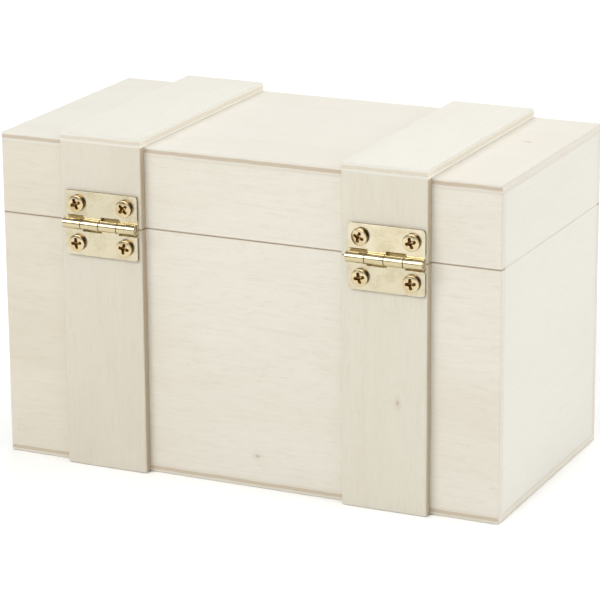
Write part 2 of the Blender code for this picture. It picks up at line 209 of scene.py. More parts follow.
def wood(name, grain, thick, slab, seed, core, tint=PLAIN_TINT, figure=1.0, far_tint=None, knots=()):
    """Three-ply poplar: two pale veneers with their grain along one axis, and a crossed core.

    grain and thick are axis numbers, and slab is where the sheet starts and ends along thick.
    tint multiplies the colour, and far_tint does so at the +X end.  figure is how strongly the
    grain shows.  Each knot is a place and a radius.
    """
    made, tree, shader = new_material(name, 0.30, 0.0)
    place = put(tree, "ShaderNodeTexCoord")
    coords = place.outputs["Object"]

    def scales(along_grain, across_grain):
        values = [across_grain, across_grain, across_grain]
        values[grain] = along_grain
        return tuple(values)

    broad = stretched_noise(tree, coords, scales(9, 30), seed, 3.0, 0.55, 0.6)
    ripple = stretched_noise(tree, coords, scales(150, 800), seed + 11, 3.0, 0.6, 0.9)
    fibres = stretched_noise(tree, coords, scales(50, 2300), seed + 23, 3.0, 0.6, 0.2)
    dashes = stretched_noise(tree, coords, scales(230, 1500), seed + 37, 2.0, 0.5, 0.5)

    colour = blend(tree, remap(tree, broad, 0.38, 0.66, 0.0, 0.70 * figure), PALE, WARM)
    colour = blend(tree, remap(tree, ripple, 0.46, 0.72, 0.0, 0.20 * figure), colour, STREAK)
    colour = blend(tree, remap(tree, fibres, 0.42, 0.75, 0.0, 0.14 * figure), colour, STREAK)
    colour = blend(tree, remap(tree, dashes, 0.66, 0.78, 0.0, 0.28 * figure), colour, PORE)

    split = put(tree, "ShaderNodeSeparateXYZ", None, {0: coords})
    flat_depth = remap(tree, split.outputs[thick], slab[0], slab[1], smooth=False)

    # A pin knot is a dark dot with a paler ring that is drawn out along the outer veneer's grain.
    outside = remap(tree, flat_depth, 0.5, 0.6)
    squeeze = [1.0, 1.0, 1.0]
    squeeze[grain] = 0.6
    squeeze[thick] = 0.0
    for knot_place, radius in knots:
        offset = vector_calc(tree, "SUBTRACT", coords, knot_place)
        flat = vector_calc(tree, "MULTIPLY", offset.outputs[0], tuple(squeeze))
        far = vector_calc(tree, "LENGTH", flat.outputs[0]).outputs["Value"]
        halo = calc(tree, "MULTIPLY", outside, remap(tree, far, 3.2 * radius, 0.8 * radius, 0.0, 0.26))
        dot = calc(tree, "MULTIPLY", outside, remap(tree, far, 1.0 * radius, 0.35 * radius, 0.0, 0.42))
        colour = blend(tree, halo, colour, KNOT_HALO)
        colour = blend(tree, dot, colour, KNOT)

    # Seen on its edges, the sheet shows the core between two glue lines.
    facing = put(tree, "ShaderNodeSeparateXYZ", None, {0: place.outputs["Normal"]})
    wander = stretched_noise(tree, coords, (110, 110, 110), seed + 51, 3.0, 0.65)
    depth = calc(tree, "ADD", flat_depth, remap(tree, wander, 0.3, 0.7, -0.05, 0.05, smooth=False))
    endwise = remap(tree, calc(tree, "ABSOLUTE", facing.outputs[grain]), 0.6, 0.9)
    specks = stretched_noise(tree, coords, (1500, 1500, 1500), seed + 61, 3.0, 0.7)
    core_colour = blend(tree, endwise, core.long_edge, core.end_edge)
    core_colour = blend(tree, remap(tree, specks, 0.45, 0.75, 0.0, 0.35), core_colour, GLUE_LINE)
    not_endwise = calc(tree, "SUBTRACT", 1.0, endwise)
    edgewise = remap(tree, calc(tree, "ABSOLUTE", facing.outputs[thick]), 0.5, 0.1, 0.0, 0.80)
    veneer = blend(tree, calc(tree, "MULTIPLY", edgewise, not_endwise), colour, core.veneer)
    rise = remap(tree, depth, core.low - 0.03, core.low + 0.03)
    fall = remap(tree, depth, core.high + 0.03, core.high - 0.03)
    in_core = calc(tree, "MULTIPLY", rise, fall)
    glue = calc(tree, "MULTIPLY", in_core, calc(tree, "SUBTRACT", 1.0, in_core))
    glue = calc(tree, "MULTIPLY", glue, remap(tree, endwise, 0.0, 1.0, 2.6, 0.9))
    colour = blend(tree, in_core, veneer, core_colour)
    colour = blend(tree, glue, colour, GLUE_LINE)

    # The saw has browned the cut between base and lid, and its rims.
    if thick != Z:
        upright = remap(tree, calc(tree, "ABSOLUTE", facing.outputs[Z]), 0.6, 0.9)
        from_cut = calc(tree, "ABSOLUTE", calc(tree, "SUBTRACT", split.outputs[Z], CUT_Z))
        near_cut = calc(tree, "MAXIMUM", upright, remap(tree, from_cut, *BROWNED))
        saw_strength = 0.60 if thick == Y else 0.12
        colour = blend(tree, calc(tree, "MULTIPLY", near_cut, saw_strength), colour, SAW_MARK)

    multiplier = tint
    if far_tint:
        multiplier = blend(tree, remap(tree, split.outputs[X], 0.0, 80 * MM), tint, far_tint)
    colour = blend(tree, 1.0, colour, multiplier, "MULTIPLY")
    tree.links.new(colour, shader.inputs["Base Color"])

    rough = remap(tree, fibres, 0.3, 0.7, 0.54, 0.70)
    rough = calc(tree, "ADD", rough, calc(tree, "MULTIPLY", in_core, 0.14))
    tree.links.new(rough, shader.inputs["Roughness"])

    grooves = calc(tree, "MULTIPLY", remap(tree, dashes, 0.60, 0.74), -1.0)
    height = calc(tree, "ADD", calc(tree, "MULTIPLY", fibres, 0.8), grooves)
    height = calc(tree, "ADD", height, calc(tree, "MULTIPLY", ripple, 0.8))
    height = calc(tree, "ADD", height, calc(tree, "MULTIPLY", calc(tree, "MULTIPLY", specks, in_core), 1.5))
    bump = put(tree, "ShaderNodeBump", None, {"Strength": 0.3, "Distance": 0.05 * MM, "Height": height})
    tree.links.new(bump.outputs[0], shader.inputs["Normal"])
    return made


# ---------------------------------------------------------------- brass

# Each brass has its tone and the deeper tone of its blotches.
LEAF_BRASS = ((0.600, 0.540, 0.395), (0.550, 0.480, 0.325))
SCREW_BRASS = ((0.64, 0.53, 0.33), (0.52, 0.38, 0.18))
# The cross recesses are painted dark: painted shade in the recesses.
RECESS_PAINTED_SHADE_BRASS = ((0.24, 0.14, 0.04), (0.15, 0.08, 0.02))
LATCH_BRASS = ((0.62, 0.56, 0.40), (0.57, 0.49, 0.32))

# Second tones for parts of a hinge: the knuckles' deeper tone; painted light, a pale tone, in the notches;
# the leaf's darker rim; and painted shade under the top of a screw's head.
ROLLED_BRASS = (0.60, 0.515, 0.32)
# Painted light: the notches' edges are brightened with this pale brass, for light that the knuckles throw
# into them.
NOTCH_PAINTED_LIGHT_BRASS = (0.90, 0.80, 0.55)
SHEARED_BRASS = (0.34, 0.29, 0.18)
# Painted shade: dark brown on the sides of a screw's head, for the shade and dark reflections there.
PAINTED_SHADE_BRASS = (0.16, 0.095, 0.025)


@dataclass
class Shade:
    """A second tone that comes in from one depth in Y to another.

    Where beyond is set, it does so only that far above and below pin_z.
    """
    clean_y: float
    full_y: float
    colour: tuple
    beyond: float = 0.0
    pin_z: float = 0.0


def brass(name, colour, deep, roughness, seed, waves=0.5, shades=()):
    """Plated brass: blotches of a deeper tone, fine scratches and a surface with slight waves."""
    made, tree, shader = new_material(name, 0.5, 1.0)
    coords = put(tree, "ShaderNodeTexCoord").outputs["Object"]
    split = put(tree, "ShaderNodeSeparateXYZ", None, {0: coords})
    blotches = stretched_noise(tree, coords, (210, 210, 210), seed, 4.0, 0.6, 0.3)
    haze = stretched_noise(tree, coords, (900, 900, 900), seed + 5, 3.0, 0.6)
    scratches = stretched_noise(tree, coords, (260, 4200, 4200), seed + 9, 2.0, 0.6)
    swell = stretched_noise(tree, coords, (170, 170, 170), seed + 17, 1.0)
    tone = blend(tree, remap(tree, blotches, 0.42, 0.72), colour, deep)
    tone = blend(tree, remap(tree, haze, 0.55, 0.85, 0.0, 0.5), tone, deep)
    for shade in shades:
        amount = remap(tree, split.outputs[Y], shade.clean_y, shade.full_y)
        if shade.beyond:
            from_pin = calc(tree, "ABSOLUTE", calc(tree, "SUBTRACT", split.outputs[Z], shade.pin_z))
            far_enough = remap(tree, from_pin, 0.95 * shade.beyond, shade.beyond)
            amount = calc(tree, "MULTIPLY", amount, far_enough)
        tone = blend(tree, amount, tone, shade.colour)
    tree.links.new(tone, shader.inputs["Base Color"])
    rough = calc(tree, "ADD", remap(tree, blotches, 0.35, 0.75, roughness, roughness + 0.08),
                 remap(tree, scratches, 0.55, 0.8, 0.0, 0.08))
    tree.links.new(rough, shader.inputs["Roughness"])
    fine = calc(tree, "MULTIPLY", scratches, 0.12)
    height = calc(tree, "ADD", calc(tree, "MULTIPLY", swell, waves * 6), fine)
    bump = put(tree, "ShaderNodeBump", None, {"Strength": 0.3, "Distance": 0.05 * MM, "Height": height})
    tree.links.new(bump.outputs[0], shader.inputs["Normal"])
    return made


# ---------------------------------------------------------------- mesh helpers

def piece(name, shape, looks, body, nodes, smooth_angle=40):
    """Make an object from a bmesh in frame coordinates, and say what it rides on and stands for."""
    mesh = bpy.data.meshes.new(name)
    bmesh.ops.recalc_face_normals(shape, faces=shape.faces)
    shape.to_mesh(mesh)
    shape.free()
    for look in looks:
        mesh.materials.append(look)
    mesh.shade_smooth()
    mesh.set_sharp_from_angle(angle=radians(smooth_angle))
    made = bpy.data.objects.new(name, mesh)
    bpy.context.scene.collection.objects.link(made)
    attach(made, body)
    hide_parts(*nodes)
    return made


def soften(target, width, segments, angle):
    """Round the sharp edges of a piece, and keep its flat faces flat in the light."""
    rounding = target.modifiers.new("rounding", "BEVEL")
    rounding.width = width
    rounding.segments = segments
    rounding.limit_method = "ANGLE"
    rounding.angle_limit = radians(angle)
    rounding.use_clamp_overlap = True
    weigh_normals(target)


def weigh_normals(target):
    flatten = target.modifiers.new("flatten", "WEIGHTED_NORMAL")
    flatten.keep_sharp = True


def corners_of(node):
    """The lowest and the highest corner of a CAD node."""
    low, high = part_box(node)
    return Vector(low), Vector(high)


def arc(centre, radius, start, end, segments):
    step = (end - start) / segments
    angles = [start + step * index for index in range(segments + 1)]
    return [(centre[0] + radius * cos(angle), centre[1] + radius * sin(angle)) for angle in angles]


def quarter_turn(steps):
    """Angles from 0 to a right angle."""
    return [pi / 2 * step / steps for step in range(steps + 1)]


def prism(shape, outline, y_from, y_to):
    """Add to a bmesh an outline in X and Z that is drawn out along Y."""
    near = [shape.verts.new((x, y_from, z)) for x, z in outline]
    far = [shape.verts.new((x, y_to, z)) for x, z in outline]
    shape.faces.new(near)
    shape.faces.new(far)
    for index in range(len(outline)):
        after = (index + 1) % len(outline)
        shape.faces.new((near[index], near[after], far[after], far[index]))


def turned(profile, centre, segments=ROUND_SEGMENTS):
    """A round piece about a line along Y through centre, from (radius, y) points."""
    shape = bmesh.new()
    points = [shape.verts.new((centre.x + radius, centre.y + y, centre.z)) for radius, y in profile]
    edges = [shape.edges.new(pair) for pair in zip(points, points[1:])]
    bmesh.ops.spin(shape, geom=points + edges, cent=centre, axis=(0, 1, 0), angle=2 * pi,
                   steps=segments, use_merge=True)
    bmesh.ops.remove_doubles(shape, verts=shape.verts, dist=WELD)
    return shape


def subtract(target, cutter_shape):
    """Cut a closed bmesh out of a piece for good, and free the bmesh."""
    mesh = bpy.data.meshes.new("cutter")
    bmesh.ops.recalc_face_normals(cutter_shape, faces=cutter_shape.faces)
    cutter_shape.to_mesh(mesh)
    cutter_shape.free()
    cutter = bpy.data.objects.new("cutter", mesh)
    bpy.context.scene.collection.objects.link(cutter)
    modifier = target.modifiers.new("cut", "BOOLEAN")
    modifier.operation = "DIFFERENCE"
    modifier.solver = "EXACT"
    modifier.object = cutter
    bpy.context.view_layer.update()
    evaluated = target.evaluated_get(bpy.context.evaluated_depsgraph_get())
    result = bpy.data.meshes.new_from_object(evaluated)
    target.modifiers.clear()
    target.data = result
    bpy.data.objects.remove(cutter)


# ---------------------------------------------------------------- boards

# The coin slot in the lid's front wall; SLOT_Z is its middle.
SLOT_Z = 103.6 * MM
SLOT_LENGTH = 36.0 * MM
SLOT_HEIGHT = 4.8 * MM
SLOT_EASE = 0.28 * MM

# Each face's axis, and which of the two corners it goes through.
SIDES_OF_BOX = {"-x": (X, 0), "+x": (X, 1), "-y": (Y, 0), "+y": (Y, 1), "-z": (Z, 0), "+z": (Z, 1)}


def board_shape(low, high, eased, sawn, seed):
    """A sheet of ply between two corners.

    eased names the faces that show, whose shared edges were sanded round; sawn names the faces
    that the saw left, with nearly sharp edges; all other edges are inside a glued joint.
    """
    corners = (low, high)
    shape = bmesh.new()
    verts = {}
    for i in (0, 1):
        for j in (0, 1):
            for k in (0, 1):
                verts[i, j, k] = shape.verts.new((corners[i][X], corners[j][Y], corners[k][Z]))
    loops = ((0, 0), (1, 0), (1, 1), (0, 1))
    side_faces = {}
    for name, (axis, end) in SIDES_OF_BOX.items():
        keys = []
        for a, b in loops:
            key = [a, b]
            key.insert(axis, end)
            keys.append(tuple(key))
        side_faces[shape.faces.new([verts[key] for key in keys])] = name
    weight = shape.edges.layers.float.new("bevel_weight_edge")
    for edge in shape.edges:
        names = [side_faces[face] for face in edge.link_faces]
        if all(name in eased for name in names):
            edge[weight] = 1.0
        elif any(name in sawn for name in names):
            edge[weight] = SAWN_EASE / EASE
        else:
            edge[weight] = JOINT_EASE / EASE
    mesh = bpy.data.meshes.new("board")
    bmesh.ops.recalc_face_normals(shape, faces=shape.faces)
    shape.to_mesh(mesh)
    shape.free()
    holder = bpy.data.objects.new("board", mesh)
    bpy.context.scene.collection.objects.link(holder)
    rounding = holder.modifiers.new("rounding", "BEVEL")
    rounding.width = EASE
    rounding.segments = 4
    rounding.limit_method = "WEIGHT"
    rounding.use_clamp_overlap = False
    bpy.context.view_layer.update()
    evaluated = holder.evaluated_get(bpy.context.evaluated_depsgraph_get())
    rounded = bmesh.new()
    rounded.from_mesh(evaluated.to_mesh())
    evaluated.to_mesh_clear()
    bpy.data.objects.remove(holder)

    # Cross cuts give the long edges points, which are then moved by uneven sanding.
    for axis in (X, Y, Z):
        length = high[axis] - low[axis]
        count = int(length / STATION)
        normal = [0, 0, 0]
        normal[axis] = 1
        for index in range(1, count):
            point = [0, 0, 0]
            point[axis] = low[axis] + length * index / count
            everything = rounded.verts[:] + rounded.edges[:] + rounded.faces[:]
            bmesh.ops.bisect_plane(rounded, geom=everything, plane_co=point, plane_no=normal, dist=WELD)
    for vert in rounded.verts:
        near = []
        for name in eased:
            axis, end = SIDES_OF_BOX[name]
            near.append((abs(vert.co[axis] - corners[end][axis]), axis, end))
        near.sort()
        if len(near) > 1 and near[1][0] < EASE_REACH:
            rub = WEAR * max(0.0, noise.noise(vert.co * WEAR_SCALE + Vector((seed, 0, 0))) + WEAR_BIAS)
            for distance, axis, end in near[:2]:
                inward = 1 if end == 0 else -1
                vert.co[axis] += inward * rub * max(0.0, 1 - distance / EASE_REACH)
    return rounded


def grown(node, grow):
    """The CAD node's corners, moved outwards on the named sides to close a glue gap."""
    low, high = corners_of(node)
    for name, amount in grow.items():
        axis, end = SIDES_OF_BOX[name]
        if end:
            high[axis] += amount
        else:
            low[axis] -= amount
    return low, high


def make_board(node, look, eased, sawn=(), grow=None, seed=0.0):
    body = "lid" if node.startswith("lid") else "base"
    low, high = grown(node, grow or {})
    shape = board_shape(low, high, eased, sawn, seed)
    made = piece(f"{node}_ply", shape, [look], body, [node])
    weigh_normals(made)
    return made


def slab_of(node, axis):
    low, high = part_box(node)
    return low[axis], high[axis]


def make_carcass():
    glue = GLUE_GROW
    looks = {
        "bottom": wood("ply_bottom", X, Z, slab_of("base_bottom_panel", Z), 3.1, TAN_CORE),
        "top": wood("ply_top", X, Z, slab_of("lid_top_panel", Z), 8.4, TAN_CORE, TOP_PANEL_TINT, 0.45,
                    COOL_TINT, [TOP_KNOT]),
        "front": wood("ply_front", X, Y, slab_of("base_front_panel", Y), 14.2, PALE_CORE),
        "back": wood("ply_back", X, Y, slab_of("base_back_panel", Y), 21.7, PALE_CORE,
                     far_tint=FAR_END_TINT, knots=[BACK_KNOT]),
        "left": wood("ply_left", Y, X, slab_of("base_left_panel", X), 29.3, PALE_CORE, END_TINT, 0.30),
        "right": wood("ply_right", Y, X, slab_of("base_right_panel", X), 35.9, PALE_CORE, END_TINT, 0.30),
    }
    make_board("base_bottom_panel", looks["bottom"], ("-x", "+x", "-y", "+y", "-z"), seed=1)
    make_board("lid_top_panel", looks["top"], ("-x", "+x", "-y", "+y", "+z"), seed=2)
    for part, joint, seam in (("base", "-z", "+z"), ("lid", "+z", "-z")):
        for number, side in enumerate(("front", "back")):
            outer = "-y" if side == "front" else "+y"
            make_board(f"{part}_{side}_panel", looks[side], (outer, "-x", "+x"), (seam,),
                       {joint: glue, seam: SEAM_GROW}, 4 + number)
        for number, side in enumerate(("left", "right")):
            make_board(f"{part}_{side}_panel", looks[side], (), (),
                       {joint: glue, "-y": glue, "+y": glue, seam: END_SEAM_GROW}, 7 + number)


def cut_coin_slot():
    """The slot's ends are half round, and its rim is lightly eased."""
    panel = bpy.data.objects["lid_front_panel_ply"]
    low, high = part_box("lid_front_panel")
    half_height = SLOT_HEIGHT / 2
    reach = SLOT_LENGTH / 2 - half_height
    right = arc((reach, SLOT_Z), half_height, -pi / 2, pi / 2, 20)
    left = arc((-reach, SLOT_Z), half_height, pi / 2, 1.5 * pi, 20)
    shape = bmesh.new()
    prism(shape, right + left, low[Y] - CUT_THROUGH, high[Y] + CUT_THROUGH)
    subtract(panel, shape)
    soften(panel, SLOT_EASE, 3, 70)


def make_straps():
    glue = GLUE_GROW
    for side, seed in (("left", 43.0), ("right", 52.0)):
        knots = [STRAP_KNOT] if side == "left" else []
        tint = STRAP_TINTS[side]
        back_slab = slab_of(f"base_back_strap_{side}", Y)
        front_slab = tuple(reversed(slab_of(f"base_front_strap_{side}", Y)))
        top_slab = slab_of(f"lid_top_strap_{side}", Z)
        back = wood(f"strap_back_{side}", Z, Y, back_slab, seed, BROWN_CORE_AND_PAINTED_SHADE, tint, 0.75, knots=knots)
        front = wood(f"strap_front_{side}", Z, Y, front_slab, seed + 3, BROWN_CORE_AND_PAINTED_SHADE, tint, 0.75)
        top = wood(f"strap_top_{side}", Y, Z, top_slab, seed + 6, CREAM_CORE_PAINTED_LIGHT, COOL_TINT, 0.40)
        make_board(f"base_back_strap_{side}", back, ("-x", "+x", "+y", "-z"), ("+z",),
                   {"-y": glue, "+z": SEAM_GROW}, seed)
        make_board(f"lid_back_strap_{side}", back, ("-x", "+x", "+y"), ("-z",),
                   {"-y": glue, "+z": glue, "-z": SEAM_GROW}, seed + 1)
        make_board(f"lid_top_strap_{side}", top, ("-x", "+x", "-y", "+y", "+z"), (),
                   {"-z": glue}, seed + 2)
        make_board(f"base_front_strap_{side}", front, ("-x", "+x", "-y", "-z"), ("+z",),
                   {"+y": glue, "+z": SEAM_GROW}, seed + 4)
        make_board(f"lid_front_strap_{side}", front, ("-x", "+x", "-y", "+z"), ("-z",),
                   {"+y": glue, "-z": SEAM_GROW}, seed + 5)


# ---------------------------------------------------------------- hinges

KNUCKLE_RADIUS = 1.8 * MM
LEAF_THICKNESS = 0.9 * MM
LEAF_CORNERS = {"left": 1.3 * MM, "right": 0.8 * MM}
LEAF_HEIGHT = 11.0 * MM
# Painted light and shade: each leaf's brass is made lighter or darker by its own factor.
LEAF_PAINTED_LIGHT = {("left", "lower"): 0.99, ("left", "upper"): 1.07,
              ("right", "lower"): 0.99, ("right", "upper"): 0.94}
NOTCH_FACE = 2.75 * MM     # how far from the pin a notch ends on the leaf's face
NOTCH_BACK = 1.45 * MM     # and on its back, so that its sheared edge slopes
NOTCH_STEPS = 6
KNUCKLES = 4
KNUCKLE_GAP = 0.28 * MM
RIM_FROM_PIN = 3.0 * MM    # the leaf's own rim is further than this from the pin
PIN_SEGMENTS = 32
CURL_END = radians(-112)


def curl_outline(up):
    """The rolled end of a leaf in Y and Z about the pin, from the leaf's back to its front face."""
    outer = arc((0, 0), KNUCKLE_RADIUS, pi, CURL_END, CURL_SEGMENTS)
    inner = arc((0, 0), KNUCKLE_RADIUS - LEAF_THICKNESS, CURL_END, pi, CURL_SEGMENTS)
    return [(y, -up * z) for y, z in outer + inner]


def notch_edge(up):
    """The hollow edge of a notch in Y and Z about the pin, from the leaf's face to its back."""
    face = Vector((LEAF_THICKNESS - KNUCKLE_RADIUS, NOTCH_FACE))
    back = Vector((-KNUCKLE_RADIUS, NOTCH_BACK))
    points = []
    for index in range(1, NOTCH_STEPS):
        share = index / NOTCH_STEPS
        angle = (1 - share) * atan2(face.y, face.x) + share * atan2(back.y, back.x)
        radius = (1 - share) * face.length + share * back.length
        points.append((radius * cos(angle), up * radius * sin(angle)))
    return points


def leaf_shape(centre, width, corner, up, own_knuckles):
    """A flat plate with notches and its own rolled knuckles, about the pin's middle."""
    pitch = width / KNUCKLES
    spans = []
    for index in own_knuckles:
        start = width / 2 - index * pitch
        first = start - (KNUCKLE_GAP / 2 if index else 0)
        last = start - pitch + (KNUCKLE_GAP / 2 if index < KNUCKLES - 1 else 0)
        spans.append((first, last))
    stations = sorted({width / 2, -width / 2, *[x for span in spans for x in span]}, reverse=True)
    back_y = -KNUCKLE_RADIUS
    face_y = LEAF_THICKNESS - KNUCKLE_RADIUS
    plate = [(back_y, up * NOTCH_BACK), (back_y, up * LEAF_HEIGHT), (face_y, up * LEAF_HEIGHT),
             (face_y, up * NOTCH_FACE)]
    shape = bmesh.new()

    def ring_of(x, points):
        return [shape.verts.new((centre.x + x, centre.y + y, centre.z + z)) for y, z in points]

    def join(near, far):
        for index in range(len(near) - 1):
            shape.faces.new((near[index], near[index + 1], far[index + 1], far[index]))

    rows = [(ring_of(x, plate), ring_of(x, notch_edge(up))) for x in stations]
    for outline, hollow in (rows[0], rows[-1]):
        shape.faces.new(outline + hollow)
    strips = zip(stations, stations[1:], rows, rows[1:])
    for x_from, x_to, (near, near_hollow), (far, far_hollow) in strips:
        join(near, far)
        if (x_from, x_to) in spans:
            near_roll = [near[0], *ring_of(x_from, curl_outline(up)), near[-1]]
            far_roll = [far[0], *ring_of(x_to, curl_outline(up)), far[-1]]
            join(near_roll, far_roll)
            shape.faces.new(near_roll + near_hollow)
            shape.faces.new(far_roll + far_hollow)
        else:
            join([near[-1], *near_hollow, near[0]], [far[-1], *far_hollow, far[0]])
    outer_corners = [edge for edge in shape.edges
                     if all(abs(abs(v.co.x - centre.x) - width / 2) < 1e-6 for v in edge.verts)
                     and all(abs(v.co.z - centre.z - up * LEAF_HEIGHT) < 1e-6 for v in edge.verts)]
    bmesh.ops.bevel(shape, geom=outer_corners, offset=corner, segments=6, profile=0.5, affect="EDGES")
    return shape


def make_leaf(side, row, look):
    up = 1 if row == "upper" else -1
    pin_low, pin_high = corners_of(f"hinge_pin_{side}")
    centre = (pin_low + pin_high) / 2
    width = pin_high.x - pin_low.x
    node = f"hinge_{row}_leaf_{side}"
    body = "lid" if row == "upper" else "base"
    knuckles = (1, 3) if row == "upper" else (0, 2)
    shape = leaf_shape(centre, width, LEAF_CORNERS[side], up, knuckles)
    leaf = piece(f"{node}_brass", shape, [look], body, [node], 30)
    soften(leaf, SHEET_EASE, 2, 40)


def make_pin(side, look):
    """A round pin along X, with its ends slightly domed."""
    low, high = corners_of(f"hinge_pin_{side}")
    centre = (low + high) / 2
    radius = (high.z - low.z) / 2
    half = (high.x - low.x) / 2
    dome = 0.25 * MM
    profile = [(0, half), (0.55 * radius, half - 0.2 * dome), (0.85 * radius, half - 0.6 * dome),
               (radius, half - dome)]
    profile += [(r, -x) for r, x in reversed(profile)]
    shape = turned([(r, -x) for r, x in profile], Vector((0, 0, 0)), PIN_SEGMENTS)
    bmesh.ops.transform(shape, matrix=Matrix.Translation(centre) @ Matrix.Rotation(pi / 2, 4, "Z"),
                        verts=shape.verts)
    piece(f"hinge_pin_{side}_brass", shape, [look], "base", [f"hinge_pin_{side}"], 50)


# How far each screw was turned, by hinge, row and number.
SCREW_TURNS = {("left", "lower"): (6, 14), ("left", "upper"): (18, 72),
               ("right", "lower"): (80, 7), ("right", "upper"): (42, 22)}
ASKEW_SCREW = ("left", "upper", 2)
ASKEW_LEANS = (radians(-7), radians(-3))  # about Z and about X
SEAT_GAP = 0.05 * MM       # between a head and its leaf
HEAD_RADIUS = 2.85 * MM
HEAD_HEIGHT = 1.3 * MM     # at its rim, over the seat
HEAD_EDGE = 0.26 * MM      # rounding of its shoulder
CROWN = 0.15 * MM          # how much its middle rises over its rim
CROWN_RADIUS = 1.9 * MM
SHANK_RADIUS = 1.2 * MM
TIP_LENGTH = 1.3 * MM
RECESS_DEPTH = 1.05 * MM
RECESS_REACH = 2.15 * MM   # no part of the recess is further from the middle
RECESS_SKIN = 0.06 * MM    # faces this far under the head's surface are in the recess
SCREW_EASE = 0.035 * MM
SCREW_SMOOTH = 38          # degrees between faces that are shaded as one


def head_profile(length):
    """A pan head with rounded shoulders on its shank; y = 0 is the seat and the tip is at -length."""
    edge = HEAD_EDGE
    shoulder = [(HEAD_RADIUS - edge + edge * sin(angle), HEAD_HEIGHT - edge + edge * cos(angle))
                for angle in quarter_turn(8)[1:]]
    crown = [(0, HEAD_HEIGHT + CROWN), (0.5 * MM, HEAD_HEIGHT + 0.96 * CROWN),
             (1.0 * MM, HEAD_HEIGHT + 0.8 * CROWN), (1.5 * MM, HEAD_HEIGHT + 0.5 * CROWN)]
    foot = [(HEAD_RADIUS, 0.06 * MM), (HEAD_RADIUS - 0.06 * MM, 0), (SHANK_RADIUS, 0)]
    return crown + shoulder + foot + [(SHANK_RADIUS, TIP_LENGTH - length), (0, -length)]


def cross_recess(centre, turn):
    """The tool's print: four tapered wings round a deeper pointed middle.

    Each row is a height over the rim, how far a wing reaches and half its width.
    """
    shape = bmesh.new()
    rows = ((0.5 * MM, 2.1 * MM, 0.56 * MM), (-0.55 * RECESS_DEPTH, 1.65 * MM, 0.42 * MM),
            (-RECESS_DEPTH, 1.1 * MM, 0.28 * MM))
    rings = []
    for y, span, half in rows:
        quarter = [(span - 0.35 * half, -half), (span, -0.4 * half), (span, 0.4 * half),
                   (span - 0.35 * half, half), (half * 1.25, half * 1.25)]
        ring = []
        for step in range(4):
            angle = step * pi / 2 + turn
            for u, v in quarter:
                x = u * cos(angle) - v * sin(angle)
                z = u * sin(angle) + v * cos(angle)
                ring.append(shape.verts.new((centre.x - x, centre.y + HEAD_HEIGHT + y, centre.z + z)))
        rings.append(ring)
    shape.faces.new(rings[0])
    for upper, lower in zip(rings, rings[1:]):
        for index in range(len(upper)):
            after = (index + 1) % len(upper)
            shape.faces.new((upper[index], upper[after], lower[after], lower[index]))
    tip = shape.verts.new((centre.x, centre.y + HEAD_HEIGHT - RECESS_DEPTH - 0.35 * MM, centre.z))
    for index in range(len(rings[-1])):
        after = (index + 1) % len(rings[-1])
        shape.faces.new((rings[-1][index], rings[-1][after], tip))
    return shape


def make_screw(side, row, number, looks):
    node = f"hinge_{row}_screw_{side}_{number}"
    low, high = corners_of(node)
    centre = Vector(((low.x + high.x) / 2, high.y - HEAD_HEIGHT - CROWN, (low.z + high.z) / 2))
    length = high.y - low.y - HEAD_HEIGHT - CROWN
    body = "lid" if row == "upper" else "base"
    shape = turned(head_profile(length), centre)
    screw = piece(f"{node}_brass", shape, looks, body, [node], SCREW_SMOOTH)
    turn = radians(SCREW_TURNS[side, row][number - 1])
    subtract(screw, cross_recess(centre, turn))
    mesh = screw.data
    for face in mesh.polygons:
        middle = face.center - centre
        reach = (middle.x ** 2 + middle.z ** 2) ** 0.5
        crown_here = HEAD_HEIGHT + CROWN * max(0.0, 1 - (reach / CROWN_RADIUS) ** 2)
        # Faces inside the recess take the second material, the painted shade.
        if reach < RECESS_REACH and 0 < middle.y < crown_here - RECESS_SKIN:
            face.material_index = 1
    if (side, row, number) == ASKEW_SCREW:
        lean = Matrix.Rotation(ASKEW_LEANS[0], 4, "Z") @ Matrix.Rotation(ASKEW_LEANS[1], 4, "X")
        mesh.transform(Matrix.Translation(centre) @ lean @ Matrix.Translation(-centre))
    mesh.set_sharp_from_angle(angle=radians(SCREW_SMOOTH))
    soften(screw, SCREW_EASE, 2, 45)


